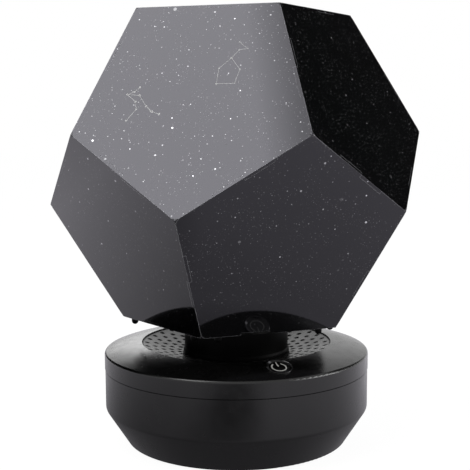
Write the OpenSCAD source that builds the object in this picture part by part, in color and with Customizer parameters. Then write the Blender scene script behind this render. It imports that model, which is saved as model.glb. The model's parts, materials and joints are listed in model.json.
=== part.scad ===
// Desk planetarium: a twelve-sided star globe that turns on a round speaker base.
// Millimetres, +Z up. The origin is on the turning axis, at the surface the feet stand on.
// The front, where the power button is, faces -Y.

/* [Globe] */
// Length of one edge of the twelve-sided globe
edge = 64; // [60:0.5:66]
// Thickness of a star panel
panel_t = 1.2; // [1:0.1:1.6]
// Clearance in the seams between panels
seam = 0.08; // [0.04:0.02:0.2]
// Length of the tab that each panel puts into its neighbour
tab_len = 14; // [8:1:18]
// Amount cut off each corner of a panel
corner_cut = 1; // [0.6:0.1:2]
// Height of the globe's floor above the lip of the base
globe_lift = 12.1; // [10:0.1:16]
// Radius of the head of a floor stud
stud_r = 1.6; // [1.2:0.1:2]
// Straight part of the head of a floor stud
stud_neck = 1; // [0.4:0.1:1.6]
// Distance of a floor stud from its corner, along the edge
stud_from_corner = 8; // [6:0.5:14]

/* [Neck] */
// Radius of the turning neck
neck_r = 25; // [24.6:0.1:25.8]
// Radius of the collar round the foot of the neck
collar_r = 25.6; // [25.2:0.1:26.4]
// Height of the collar
collar_h = 2; // [1.6:0.2:6]
// Height of the spigot that passes up through the globe's floor
spigot_h = 4; // [3:0.5:8]
// Radius of the spigot
spigot_r = 23.5; // [23:0.1:24]
// Radial width of the clamp ring
clamp_w = 4; // [3:0.5:8]
// Height of the clamp ring
clamp_h = 2.6; // [1.5:0.1:3]
// Outer radius of the fixed bearing hub
hub_r = 19.93; // [19.4:0.01:20.2]
// Wall of the fixed bearing hub
hub_wall = 5.5; // [4.5:0.1:5.8]
// Running clearance between hub and neck
running_gap = 0.07; // [0.03:0.01:0.1]
// Wall of the neck where it passes through the grille
sleeve_wall = 3; // [2.6:0.1:3.2]
// Step in the neck's bore that the retaining ring hooks over
bore_step = 1.8; // [1.4:0.1:2]

/* [Base] */
// Outer radius of the base at the top cover
base_r = 63.5; // [62:0.1:66]
// How far the lower shell stands inside the cover
shell_inset = 0.2; // [0.1:0.1:0.6]
// Wall of the base
wall = 2; // [1.6:0.1:2.4]
// Thickness of the floor of the lower shell
floor_t = 2; // [1.8:0.1:3]
// Height of the conical skirt of the lower shell
skirt_h = 16.2; // [14:0.1:18]
// How far the skirt draws in at its foot
skirt_in = 10.4; // [8:0.1:11]
// Height of the upright wall of the lower shell
shell_wall_h = 18.5; // [17.5:0.1:20]
// Width of the shadow line between lower shell and cover
shadow_line = 0.4; // [0.2:0.1:0.8]
// Height of the upright wall of the cover
cover_wall_h = 7.6; // [6.8:0.1:9]
// Width of the cover between its opening and its side
band_w = 17.9; // [17.4:0.1:18.2]
// Radius of the crown of the cover, seen in section
crown_r = 60; // [50:1:80]
// Slope of the cover at its opening, in degrees
lip_slope = 4; // [2:1:8]
// Radius of the rim between crown and wall
rim_r = 1.3; // [0.8:0.1:2]
// Radius of the bend between skirt and wall
skirt_round = 3; // [1:0.5:6]
// Radius of the edge at the foot of the skirt
foot_round = 0.8; // [0.4:0.1:1.6]

/* [Feet and screws] */
// Height that the rubber feet lift the base
foot_h = 1; // [0.6:0.1:2]
// Radius of a foot
foot_r = 5; // [4:0.5:7]
// Depth of the recess a foot sits in
foot_seat = 0.8; // [0.4:0.1:1]
// Distance of the feet from the edge that the base stands on
foot_in = 8.9; // [7.9:0.5:14]
// Distance of the case screws from the edge that the base stands on
screw_in = 6.4; // [6.2:0.1:6.8]
// Distance of the cover screws from the side of the base
cover_screw_in = 10.5; // [9.5:0.5:11]
// Radius of a case screw's shank
screw_r = 1.4; // [1.2:0.1:1.6]
// Radius of a screw boss
boss_r = 4; // [3.6:0.1:4.4]

/* [Grille] */
// Radius of the ball that the grille's bowl is part of
bowl_r = 163; // [140:1:220]
// Thickness of the grille
grille_t = 1.2; // [0.8:0.1:1.4]
// Depth of the grille's edge below the lip
grille_drop = 0.6; // [0.2:0.1:1]
// Radius of one hole
hole_r = 1; // [0.7:0.05:1.2]
// Holes in each ring
holes_per_ring = 36; // [24:1:36]
// Rings of holes
hole_rings = 5; // [3:1:5]
// Radius of the innermost ring
first_ring_r = 27.5; // [27.4:0.1:28]
// Distance between rings
ring_pitch = 3.9; // [3.4:0.05:3.95]

/* [Button] */
// Radius of the power button
button_r = 5.9; // [5:0.1:6.5]
// Clearance round the button
button_gap = 0.25; // [0.15:0.05:0.4]
// Distance of the button from the side of the base
button_in = 9.7; // [9:0.1:10.2]
// Slope of the button, in degrees
button_tilt = 16; // [12:1:18]
// Height that the button stands proud
button_proud = 0.5; // [0.2:0.1:1]
// Travel of the button
button_travel = 0.8; // [0.4:0.1:1]
// Width of the sloping edge of the button
button_bevel = 1.2; // [0.6:0.1:1.6]
// Radius of the ring in the power symbol
mark_r = 3.2; // [2:0.1:3.6]
// Line width of the power symbol
mark_w = 0.6; // [0.4:0.05:0.9]

/* [Drive] */
// Gear module
gear_module = 0.8; // [0.76:0.01:0.82]
// Teeth of the ring gear on the neck
ring_teeth = 72; // [70:1:74]
// Teeth of the motor pinion
pinion_teeth = 15; // [15:2:17]
// Width of the gear teeth
gear_w = 3.4; // [2.4:0.1:4]
// Thickness of the ring gear's web under the neck
gear_web = 1.4; // [1.2:0.1:2]
// Thinning of each tooth flank
backlash = 0.05; // [0.03:0.01:0.1]
// Radius of the motor's can
motor_r = 12; // [10:0.5:12]
// Height of the motor's can
motor_h = 17; // [12:0.5:20]
// Radius of the motor's shaft
shaft_r = 1.5; // [1:0.1:2]
// Thickness of the thrust washer
washer_t = 1; // [0.6:0.1:1.4]
// Radial width of the thrust washer
washer_w = 2; // [1:0.1:2.2]

/* [Deck] */
// Thickness of the deck that carries the mechanism
deck_t = 2; // [1.6:0.1:2.6]
// Height of the deck's underside above the shell's floor
deck_up = 26.5; // [26:0.1:27.5]
// Gap between the deck's edge and the shell's wall
deck_gap = 2.2; // [1.6:0.1:3]

/* [Lamp] */
// Radius of the lamp post
post_r = 6.5; // [5:0.1:7.5]
// Wall of the lamp post
post_wall = 1.5; // [1:0.1:2]
// Radius of the post's foot
post_foot_r = 12.5; // [12:0.1:13]
// Thickness of the post's foot
post_foot_t = 2; // [1.5:0.1:3]
// Radius of the heat sink
sink_r = 10; // [9:0.5:14]
// Height of the heat sink
sink_h = 12; // [8:0.5:20]
// Fins of the heat sink
sink_fins = 16; // [8:1:20]
// Thickness of the circuit boards
board_t = 1.2; // [0.8:0.1:1.6]

/* [Speaker, battery and boards] */
// Radius of the speaker's flange
speaker_r = 18; // [15:0.5:18]
// Depth of the speaker below the deck
speaker_depth = 17; // [14:0.5:20]
// Radius of the battery cell
cell_r = 9.2; // [7:0.1:9.4]
// Length of the battery cell
cell_len = 65; // [50:1:66]
// Distance of the cell behind the axis
cell_place = 25; // [24.5:0.1:26]
// Wall of the battery holder
holder_t = 1.6; // [1.2:0.1:1.8]
// Width of the main board
board_w = 44; // [36:1:46]
// Depth of the main board
board_d = 25; // [20:1:26]
// Distance of the middle of the main board from the foot of the shell's wall
board_in = 17.8; // [17:0.1:19]
// Width of the charge socket
socket_w = 9; // [8.6:0.1:9.6]
// Height of the charge socket
socket_h = 3.3; // [3:0.1:3.6]
// Depth of the charge socket
socket_d = 7.4; // [7:0.1:9]
// Height of the charge board's underside above the shell's floor
charge_up = 19.6; // [18:0.1:20.5]

/* [Hidden] */
$fn = 96;
eps = 0.01;      // overlap that keeps joined shapes of one solid together
fit = 0.05;      // clearance of parts that are pressed or screwed together
cut = 1;         // how far a cutter runs past the face it cuts

// Pentagon and globe: angles and lengths of a regular dodecahedron
dihedral = acos(-1 / sqrt(5));
panel_in_r = edge / (2 * tan(36));
panel_corner_r = edge / (2 * sin(36));
globe_in_r = panel_in_r * tan(dihedral / 2);
ring_polar = 180 - dihedral;   // angle between two neighbouring panels' normals
panel_back = 10;               // how far a seam cutter reaches out past the edge

// Heights, from the ground up
z_under = foot_h;
z_floor = z_under + floor_t;
z_bend = z_under + skirt_h;
z_shell_top = z_bend + shell_wall_h;
z_cover = z_shell_top + shadow_line;
z_rim = z_cover + cover_wall_h;
z_deck = z_floor + deck_up;
z_deck_top = z_deck + deck_t;

// Section of the lower shell
shell_r = base_r - shell_inset;
foot_edge_r = shell_r - skirt_in;
skirt_tilt = atan(skirt_in / skirt_h);
skirt_shift = wall / cos(skirt_tilt);
inner_r = shell_r - wall;
inner_foot_r = foot_edge_r - skirt_shift + floor_t * tan(skirt_tilt);
z_inner_bend = z_bend + (skirt_shift - wall) / tan(skirt_tilt);

// Places that go by the side of the base
mouth_r = base_r - band_w;
button_place = base_r - button_in;
cover_screw_place = base_r - cover_screw_in;
foot_place = foot_edge_r - foot_in;
screw_place = foot_edge_r - screw_in;
board_place = inner_foot_r - board_in;

// Section of the cover: the crown is an arc that starts at the lip with lip_slope
crown_c = mouth_r - crown_r * sin(lip_slope);
crown_z = z_rim - sqrt(pow(crown_r, 2) - pow(base_r - crown_c, 2));
z_lip = crown_z + crown_r * cos(lip_slope);
rim_c = [base_r - rim_r, crown_z + sqrt(pow(crown_r - rim_r, 2) - pow(base_r - rim_r - crown_c, 2))];
function crown_at(r) = crown_z + sqrt(pow(crown_r, 2) - pow(r - crown_c, 2));

// Grille bowl
grille_r = mouth_r - 0.2;
z_grille = z_lip - grille_drop;
bowl_z = z_grille + sqrt(pow(bowl_r, 2) - pow(grille_r, 2));
function bowl_at(r) = bowl_z - sqrt(pow(bowl_r, 2) - pow(r, 2));
ledge_in = 1.2;      // how far the ledge reaches in under the grille
ledge_r = mouth_r - ledge_in;
ledge_z = bowl_z - sqrt(pow(bowl_r + grille_t, 2) - pow(ledge_r, 2)) - 0.02;
ledge_t = 1.2;
ledge_w = 0.7;       // how far the ledge reaches out under the cover's lip
sleeve_r = hub_r + running_gap + sleeve_wall;
grille_bore_r = sleeve_r + 0.6;

// Neck and globe
neck_bore_r = hub_r + running_gap;
wide_bore_r = neck_bore_r + bore_step;
z_globe_floor = z_lip + globe_lift;
z_globe = z_globe_floor + globe_in_r;
z_collar = bowl_at(collar_r) + 0.35;
z_gear = z_deck_top + washer_t + 0.1;
z_sleeve = z_gear + gear_web;
z_hub_top = bowl_at(sleeve_r) + 2;
ring_clear = 0.2;                 // play of the retaining ring over the step
z_step = z_hub_top - ring_clear;
retainer_t = 1.2;
retainer_screw_r = hub_r - hub_wall / 2;

// Gears
gear_centre = gear_module * (ring_teeth + pinion_teeth) / 2;
ring_pitch_r = gear_module * ring_teeth / 2;
motor_ear = motor_r + 4;
speaker_x = hub_r + speaker_r + 0.6;
flange_h = 1.4;                   // thickness of the speaker's flange
speaker_z = z_deck - flange_h;    // underside of the flange, which is screwed under the deck
magnet_r = 10;
magnet_h = 6;
shaft_len = gear_w + washer_t + deck_t + 8;

// Lamp
z_emitter = z_globe;
emitter_h = 1.8;
z_lamp_board = z_emitter - emitter_h - board_t;
z_sink = z_lamp_board - sink_h;
sink_cap = 2;
z_post_top = z_lamp_board - sink_cap;

// Button and its switch, measured inwards along the button's axis
z_button = crown_at(button_place);
flange_down = wall + 0.9;
flange_t = 1;
plunger_down = flange_down + flange_t + 1.1;
switch_down = plunger_down + button_travel + 0.4;
switch_h = 3.5;
switch_w = 6;
stem_r = 1.7;
switch_board_down = switch_down + switch_h;
flange_out = 0.5;                 // how far the button's flange reaches past its cap
switch_post_r = 1.8;
switch_post_x = button_r + flange_out + switch_post_r + 0.6;
switch_board_w = 2 * (switch_post_x + switch_post_r);
switch_board_d = 11;

// Boards
board_z = z_floor + 7;
charge_z = z_floor + charge_up;
socket_z = charge_z + board_t + socket_h / 2;
socket_y = shell_r - 0.5;
charge_board_w = 18;
charge_board_d = 16;
charge_board_y = socket_y - charge_board_d / 2 - 3;
pin_r = 0.9;
board_post_r = 2.2;
cell_z = z_floor + holder_t + cell_r + 0.3;

// ---- plane geometry -------------------------------------------------------

function unit(v) = v / norm(v);
function half_angle(p, q, s) = acos(unit(p - q) * unit(s - q)) / 2;
function round_centre(p, q, s, r) = q + unit(unit(p - q) + unit(s - q)) * r / sin(half_angle(p, q, s));
function touch(p, q, s, r) = q + unit(p - q) * r / tan(half_angle(p, q, s));

// Rounds the outward corner q, between p and s, of the section given as child
module rounded(p, q, s, r) {
    c = round_centre(p, q, s, r);
    difference() {
        children();
        polygon([touch(p, q, s, r), q + (q - c), touch(s, q, p, r), c]);
    }
    translate(c) circle(r);
}

// A bar with round ends, lying along x
module slot_shape(w, h) {
    translate([-w / 2 + h / 2, 0]) circle(h / 2);
    translate([w / 2 - h / 2, 0]) circle(h / 2);
    square([w - h, h], center = true);
}

module ring(r_out, r_in, h) {
    difference() {
        cylinder(r = r_out, h = h);
        translate([0, 0, -cut]) cylinder(r = r_in, h = h + 2 * cut);
    }
}

// Copies its child n times round the axis
module around(n, r, start = 0) {
    for (i = [0:n - 1]) rotate([0, 0, start + i * 360 / n]) translate([r, 0, 0]) children();
}

// ---- globe ----------------------------------------------------------------

// Cutter along one edge: everything outside the line x = x0 + lean * z is taken away
module seam_cutter(x0, lean, from, to) {
    translate([0, to, 0]) rotate([90, 0, 0]) linear_extrude(to - from)
        polygon([[x0 + lean * cut, cut], [x0 - lean * (panel_t + cut), -panel_t - cut],
            [panel_in_r + panel_back, -panel_t - cut], [panel_in_r + panel_back, cut]]);
}

// One edge, from corner to corner: mitre, slot for the neighbour's tab, own tab, mitre
module edge_cutters() {
    mitre = 1 / tan(dihedral / 2);
    slope = tan(dihedral - 90);
    slot_in = panel_t / sin(dihedral);
    gap = seam / 2 / sin(dihedral / 2);
    seam_cutter(panel_in_r - gap, mitre, -edge, -tab_len);
    seam_cutter(panel_in_r - slot_in - seam, -slope, -tab_len - seam, 0);
    seam_cutter(panel_in_r, -slope, 0, tab_len);
    seam_cutter(panel_in_r - gap, mitre, tab_len, edge);
}

// A star panel lying flat, outer face at z = 0, one corner on +x
module panel() {
    difference() {
        translate([0, 0, -panel_t]) cylinder(r = panel_corner_r + 2 * panel_t, h = panel_t, $fn = 5);
        for (i = [0:4]) {
            rotate([0, 0, 36 + 72 * i]) edge_cutters();
            rotate([0, 0, 72 * i]) translate([panel_corner_r - corner_cut, -panel_back, -panel_t - cut])
                cube([2 * panel_back, 2 * panel_back, panel_t + 2 * cut]);
        }
    }
}

module on_globe(polar, azimuth, turn) {
    translate([0, 0, z_globe]) rotate([0, polar, azimuth]) translate([0, 0, globe_in_r])
        rotate([0, 0, turn]) children();
}

module top_panel() { color("#1c1c22") on_globe(0, -90, 0) panel(); }

module upper_panel(i) { color("#2a2a31") on_globe(ring_polar, -54 + 72 * i, 0) panel(); }

module lower_panel(i) { color("#222227") on_globe(180 - ring_polar, -90 + 72 * i, 36) panel(); }

module floor_panel() {
    color("#141416") difference() {
        on_globe(180, 126, 0) panel();
        translate([0, 0, z_globe_floor - cut]) cylinder(r = spigot_r + fit, h = panel_t + 2 * cut);
        at_studs() translate([0, 0, -cut]) cylinder(r = pin_r + fit, h = panel_t + 2 * cut);
    }
}

// The ten studs stand near the ends of the floor's five edges
module at_studs() {
    inset = stud_r;
    along = edge / 2 - stud_from_corner;
    for (i = [0:4], side = [-1, 1]) rotate([0, 0, -90 + 72 * i])
        translate([panel_in_r - inset, side * along, z_globe_floor]) children();
}

module floor_studs() {
    color("#101012") at_studs() {
        rotate_extrude() {
            translate([0, -stud_neck]) square([stud_r, stud_neck]);
            translate([0, -stud_neck]) intersection() {
                circle(stud_r);
                translate([0, -stud_r]) square([stud_r, stud_r]);
            }
            square([pin_r, panel_t + 0.8]);
        }
    }
}

// ---- neck and drive -------------------------------------------------------

module neck_sleeve() {
    color("#1a1a1c") difference() {
        union() {
            translate([0, 0, z_sleeve]) cylinder(r = sleeve_r, h = z_collar - z_sleeve + eps);
            translate([0, 0, z_collar]) cylinder(r = collar_r, h = collar_h - 1);
            translate([0, 0, z_collar + collar_h - 1 - eps])
                cylinder(r1 = collar_r, r2 = neck_r, h = 1 + eps);
            translate([0, 0, z_collar + collar_h - eps])
                cylinder(r = neck_r, h = z_globe_floor - z_collar - collar_h - 0.6 + eps);
            translate([0, 0, z_globe_floor - 0.6 - eps])
                cylinder(r1 = neck_r, r2 = neck_r - 0.6, h = 0.6 + eps);
            translate([0, 0, z_globe_floor - eps]) cylinder(r = spigot_r, h = spigot_h + eps);
        }
        translate([0, 0, z_sleeve - cut]) cylinder(r = neck_bore_r, h = z_step - z_sleeve + cut + eps);
        translate([0, 0, z_step]) cylinder(r = wide_bore_r, h = z_globe_floor + spigot_h);
        at_gear_screws() cylinder(r = pin_r, h = 5);
    }
}

module at_gear_screws() {
    around(3, neck_bore_r + sleeve_wall / 2, 30) translate([0, 0, z_sleeve - eps]) children();
}

module clamp_ring() {
    grips = 24;
    color("#2c2c2e") translate([0, 0, z_globe_floor + panel_t]) difference() {
        cylinder(r = spigot_r + clamp_w, h = clamp_h);
        translate([0, 0, -cut]) cylinder(r = spigot_r + fit, h = clamp_h + 2 * cut);
        around(grips, spigot_r + clamp_w + 0.5) translate([0, 0, 0.8]) cylinder(r = 1.2, h = clamp_h);
    }
}

// Half the angle that a tooth covers at radius r, for a gear of n teeth
function involute(a) = tan(a) * 180 / PI - a;
function tooth_half(n, r) = 90 / n + involute(20)
    - involute(acos(min(1, gear_module * n / 2 * cos(20) / r)))
    - backlash / (gear_module * n / 2) * 180 / PI;
function polar(r, a) = [r * cos(a), r * sin(a)];

module gear_outline(n) {
    pitch_r = gear_module * n / 2;
    base = pitch_r * cos(20);
    root = pitch_r - 1.05 * gear_module;
    tip = pitch_r + 0.8 * gear_module;
    steps = [root, max(root, base), (max(root, base) + tip) / 2, tip];
    polygon([for (i = [0:n - 1]) each concat(
        [for (r = steps) polar(r, i * 360 / n - tooth_half(n, max(r, base)))],
        [for (k = [3:-1:0]) polar(steps[k], i * 360 / n + tooth_half(n, max(steps[k], base)))])]);
}

module ring_gear() {
    color("#d8d6cc") difference() {
        translate([0, 0, z_gear]) linear_extrude(gear_web + gear_w) gear_outline(ring_teeth);
        translate([0, 0, z_gear - cut]) cylinder(r = neck_bore_r + 0.3, h = gear_web + gear_w + 2 * cut);
        translate([0, 0, z_sleeve]) cylinder(r = sleeve_r + fit, h = gear_w + cut);
        at_gear_screws() {
            translate([0, 0, -gear_web - cut]) cylinder(r = pin_r + fit, h = gear_web + 2 * cut);
            translate([0, 0, -gear_web - cut]) cylinder(r = 1.3, h = 0.8 + cut);
        }
    }
}

module gear_screws() {
    color("#9a9a9e") at_gear_screws() {
        translate([0, 0, -gear_web]) cylinder(r = 1.25, h = 0.8);
        translate([0, 0, -gear_web]) cylinder(r = pin_r, h = gear_web + 4);
    }
}

module motor_shaft() {
    color("#b8b8bc") translate([gear_centre, 0, z_gear + gear_web + gear_w - shaft_len + 1])
        cylinder(r = shaft_r, h = shaft_len);
}

module drive_pinion() {
    color("#f0eee6") translate([gear_centre, 0, z_sleeve]) difference() {
        linear_extrude(gear_w) gear_outline(pinion_teeth);
        translate([0, 0, -cut]) cylinder(r = shaft_r, h = gear_w + 2 * cut);
    }
}

module motor_body() {
    ear_t = 1;
    color("#b0b0b4") difference() {
        union() {
            translate([gear_centre, 0, z_deck - motor_h]) cylinder(r = motor_r, h = motor_h);
            for (side = [-1, 1]) translate([gear_centre, side * motor_ear, z_deck - ear_t]) {
                cylinder(r = 3, h = ear_t);
                translate([-3, side > 0 ? -motor_ear + motor_r - 2 : 0, 0])
                    cube([6, motor_ear - motor_r + 2, ear_t]);
            }
        }
        at_motor_screws() translate([0, 0, -5]) cylinder(r = pin_r, h = 10);
        translate([gear_centre, 0, z_gear + gear_web + gear_w - shaft_len + 1 - 0.1])
            cylinder(r = shaft_r + 0.05, h = shaft_len);
    }
}

module at_motor_screws() {
    for (side = [-1, 1]) translate([gear_centre, side * motor_ear, z_deck]) children();
}

module motor_screws() {
    color("#9a9a9e") at_motor_screws() {
        translate([0, 0, -1.5]) cylinder(r = pin_r, h = deck_t + 1.5 + eps);
        translate([0, 0, deck_t]) cylinder(r = 1.8, h = 1);
    }
}

module thrust_washer() {
    color("#eeeeea") translate([0, 0, z_deck_top]) ring(hub_r + 0.1 + washer_w, hub_r + 0.1, washer_t);
}

module retaining_ring() {
    color("#8c8c90") difference() {
        translate([0, 0, z_hub_top]) ring(wide_bore_r - 0.4, hub_r - hub_wall + 0.5, retainer_t);
        at_retaining_screws() translate([0, 0, -cut]) cylinder(r = pin_r, h = retainer_t + 2 * cut);
    }
}

module at_retaining_screws() { around(3, retainer_screw_r, 90) translate([0, 0, z_hub_top]) children(); }

module retaining_screws() {
    color("#9a9a9e") at_retaining_screws() {
        translate([0, 0, -5]) cylinder(r = pin_r, h = 5 + retainer_t + eps);
        translate([0, 0, retainer_t]) cylinder(r = 1.8, h = 1.1);
    }
}

// ---- deck and lamp --------------------------------------------------------

module mechanism_deck() {
    color("#3a3a3e") difference() {
        union() {
            translate([0, 0, z_deck]) cylinder(r = inner_r - deck_gap, h = deck_t);
            translate([0, 0, z_deck_top - eps]) cylinder(r = hub_r, h = z_hub_top - z_deck_top + eps);
            at_case_screws() translate([0, 0, z_deck_top - eps])
                cylinder(r = boss_r - 0.6, h = screw_grip + eps);
        }
        translate([0, 0, z_deck_top]) cylinder(r = hub_r - hub_wall, h = z_hub_top);
        translate([0, 0, z_deck - cut]) cylinder(r = post_r - post_wall, h = deck_t + 2 * cut);
        translate([-speaker_x, 0, z_deck - cut]) cylinder(r = speaker_r - 1.8, h = deck_t + 2 * cut);
        translate([gear_centre, 0, z_deck - cut]) cylinder(r = shaft_r + 1.5, h = deck_t + 2 * cut);
        at_motor_screws() translate([0, 0, -cut]) cylinder(r = pin_r + fit, h = deck_t + 2 * cut);
        at_retaining_screws() translate([0, 0, -6]) cylinder(r = pin_r, h = 8);
        at_post_screws() translate([0, 0, -deck_t - cut]) cylinder(r = pin_r, h = deck_t + 2 * cut);
        at_case_screws() translate([0, 0, z_deck - cut]) cylinder(r = screw_r - 0.2, h = 20);
        at_cover_screws() translate([0, 0, z_deck - cut]) cylinder(r = screw_r + 0.3, h = deck_t + 2 * cut);
    }
}

module at_post_screws() {
    around(3, (post_foot_r + post_r) / 2, 30) translate([0, 0, z_deck_top]) children();
}

module post_screws() {
    color("#9a9a9e") at_post_screws() {
        translate([0, 0, -deck_t]) cylinder(r = pin_r, h = deck_t + post_foot_t + eps);
        translate([0, 0, post_foot_t]) cylinder(r = 1.7, h = 1.1);
    }
}

module lamp_post() {
    color("#46464a") difference() {
        union() {
            translate([0, 0, z_deck_top]) cylinder(r = post_foot_r, h = post_foot_t);
            translate([0, 0, z_deck_top]) cylinder(r = post_r, h = z_post_top - z_deck_top);
        }
        translate([0, 0, z_deck_top - cut]) cylinder(r = post_r - post_wall, h = z_post_top);
        at_post_screws() translate([0, 0, -cut]) cylinder(r = pin_r, h = post_foot_t + 2 * cut);
    }
}

module heat_sink() {
    fin_root = post_r + 1.6;
    color("#c4c6ca") translate([0, 0, z_sink]) difference() {
        cylinder(r = sink_r, h = sink_h);
        translate([0, 0, -cut]) cylinder(r = post_r + fit, h = sink_h - sink_cap + cut);
        translate([0, 0, -cut]) cylinder(r = 2, h = sink_h + 2 * cut);
        for (i = [0:sink_fins - 1]) rotate([0, 0, i * 360 / sink_fins])
            translate([fin_root, -0.6, -cut]) cube([sink_r, 1.2, sink_h - sink_cap + cut]);
    }
}

module lamp_board() {
    color("#f2f2ee") translate([0, 0, z_lamp_board]) difference() {
        cylinder(r = sink_r - 0.6, h = board_t);
        around(2, sink_r - 3, 90) translate([0, 0, -cut]) cylinder(r = 0.9, h = board_t + 2 * cut);
    }
}

module light_emitter() {
    color("#f4e27a") translate([0, 0, z_lamp_board + board_t]) {
        translate([-2.5, -2.5, 0]) cube([5, 5, 0.8]);
        translate([0, 0, 0.8 - eps]) intersection() {
            translate([0, 0, -0.6]) sphere(1.6 + eps);
            cylinder(r = 2, h = 1 + eps);
        }
    }
}

// ---- base -----------------------------------------------------------------

screw_grip = 4;      // height of the deck's bosses for the case screws
screw_sink = 6;      // depth of the holes that the heads of the case screws lie in

module at_case_screws() {
    for (azimuth = [-35, 65, 115, 215]) rotate([0, 0, azimuth]) translate([screw_place, 0, 0]) children();
}

module at_cover_screws() { around(4, cover_screw_place, 45) children(); }

module at_feet() { around(4, foot_place) children(); }

module lower_shell() {
    foot_edge = [foot_edge_r, z_under];
    bend = [shell_r, z_bend];
    top = [shell_r, z_shell_top];
    color("#1b1b1d") difference() {
        union() {
            difference() {
                rotate_extrude($fn = 180)
                    rounded([0, z_under], foot_edge, bend, foot_round)
                    rounded(foot_edge, bend, top, skirt_round)
                    polygon([[0, z_under], foot_edge, bend, top, [0, z_shell_top]]);
                rotate_extrude($fn = 180)
                    polygon([[0, z_floor], [inner_foot_r, z_floor], [inner_r, z_inner_bend],
                        [inner_r, z_shell_top + cut], [0, z_shell_top + cut]]);
            }
            shell_tongue();
            at_case_screws() boss(boss_r, z_deck);
            at_board_posts() boss(board_post_r, board_z);
            at_charge_posts() boss(board_post_r, charge_z);
        }
        at_case_screws() {
            translate([0, 0, z_under - cut]) cylinder(r = screw_r + 0.3, h = z_deck);
            translate([0, 0, z_under - cut]) cylinder(r = 2.9, h = screw_sink + cut);
        }
        at_feet() translate([0, 0, z_under - cut]) cylinder(r = foot_r + fit, h = foot_seat + cut);
        at_board_posts() translate([0, 0, z_floor + 1]) cylinder(r = pin_r, h = board_z);
        at_charge_posts() translate([0, 0, z_floor + 4]) cylinder(r = pin_r, h = charge_z);
        translate([0, shell_r + cut, socket_z]) rotate([90, 0, 0])
            linear_extrude(wall + 2 * cut) slot_shape(socket_w + 0.6, socket_h + 0.6);
    }
}

// A post on the shell's floor, up to the height given
module boss(r, z_top) { translate([0, 0, z_floor - eps]) cylinder(r = r, h = z_top - z_floor + eps); }

// The lip of the shell that stands up inside the cover
module shell_tongue() {
    tongue_r = base_r - wall - 0.1;
    tongue_t = 1.2;
    translate([0, 0, z_shell_top - 3]) ring(tongue_r, tongue_r - tongue_t, 5.4);
}

module crown_section(inset, z_low) {
    intersection() {
        translate([crown_c, crown_z]) circle(crown_r - inset, $fn = 720);
        translate([0, z_low]) square([base_r - inset, 2 * crown_r]);
        translate([0, z_low]) square([base_r, z_lip - inset - z_low]);
    }
}

module cover_outline() {
    away = unit(rim_c - [crown_c, crown_z]);
    touch_crown = rim_c + away * rim_r;
    difference() {
        crown_section(0, z_cover);
        polygon([rim_c, [base_r, rim_c[1]], [base_r + rim_r, rim_c[1]],
            [base_r + rim_r, touch_crown[1] + rim_r], touch_crown + away * rim_r, touch_crown]);
    }
    translate(rim_c) circle(rim_r);
}

module top_cover() {
    color("#202022") difference() {
        union() {
            rotate_extrude($fn = 180) difference() {
                cover_outline();
                crown_section(wall, z_cover - cut);
                translate([0, z_cover - cut]) square([mouth_r, 2 * crown_r]);
            }
            grille_ledge();
            intersection() {
                union() {
                    at_cover_screws() translate([0, 0, z_deck_top])
                        cylinder(r = boss_r - 0.4, h = z_lip - z_deck_top);
                    at_switch_posts() translate([0, 0, -switch_board_down])
                        cylinder(r = switch_post_r, h = switch_board_down);
                }
                rotate_extrude() crown_section(wall / 2, z_deck_top - cut);
            }
        }
        at_cover_screws() translate([0, 0, z_deck_top - cut]) cylinder(r = screw_r - 0.2, h = 8 + cut);
        at_switch_posts() translate([0, 0, -switch_board_down - cut]) cylinder(r = pin_r, h = 4);
        at_button() translate([0, 0, -2 * wall]) cylinder(r = button_r + button_gap, h = 4 * wall);
    }
}

// Ring under the opening that the grille rests on, with its outer side on the crown
module grille_ledge() {
    out = mouth_r + ledge_w;
    rotate_extrude() polygon([[ledge_r, ledge_z - ledge_t], [out, ledge_z - ledge_t],
        [out, crown_at(out) - wall / 2], [mouth_r, z_lip - wall / 2], [mouth_r, ledge_z],
        [ledge_r, ledge_z]]);
}

// Places its child on the bowl's upper face, square to the face
module on_bowl(r, azimuth) {
    translate([0, 0, bowl_z]) rotate([0, 180 - asin(r / bowl_r), azimuth])
        translate([0, 0, bowl_r]) children();
}

module speaker_grille() {
    cutter_h = 20;   // how far the cutters reach below the grille's edge
    color("#2e2e30") difference() {
        intersection() {
            difference() {
                translate([0, 0, bowl_z]) sphere(bowl_r + grille_t, $fn = 360);
                translate([0, 0, bowl_z]) sphere(bowl_r, $fn = 360);
            }
            translate([0, 0, z_grille - cutter_h]) cylinder(r = grille_r, h = cutter_h + eps);
        }
        translate([0, 0, z_grille - cutter_h]) cylinder(r = grille_bore_r, h = 2 * cutter_h);
        for (k = [0:hole_rings - 1]) if (first_ring_r + k * ring_pitch + hole_r < ledge_r)
            for (i = [0:holes_per_ring - 1])
                on_bowl(first_ring_r + k * ring_pitch, (i + k / 2) * 360 / holes_per_ring)
                    cylinder(r = hole_r, h = 6 * grille_t, center = true, $fn = 24);
    }
}

module rubber_feet() {
    edge_r = 0.5;
    top = foot_h + foot_seat;
    color("#0e0e0f") at_feet() rotate_extrude()
        rounded([0, 0], [foot_r, 0], [foot_r, top], edge_r)
        square([foot_r, top]);
}

module case_screws() {
    color("#9a9a9e") at_case_screws() {
        translate([0, 0, z_under + screw_sink - 1.8]) cylinder(r = 2.6, h = 1.8);
        translate([0, 0, z_under + screw_sink - eps])
            cylinder(r = screw_r - 0.2, h = z_deck_top + screw_grip - z_under - screw_sink);
    }
}

module cover_screws() {
    color("#9a9a9e") at_cover_screws() {
        translate([0, 0, z_deck - 1.8]) cylinder(r = 2.6, h = 1.8);
        translate([0, 0, z_deck - eps]) cylinder(r = screw_r - 0.2, h = deck_t + 7);
    }
}

// ---- button ---------------------------------------------------------------

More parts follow.
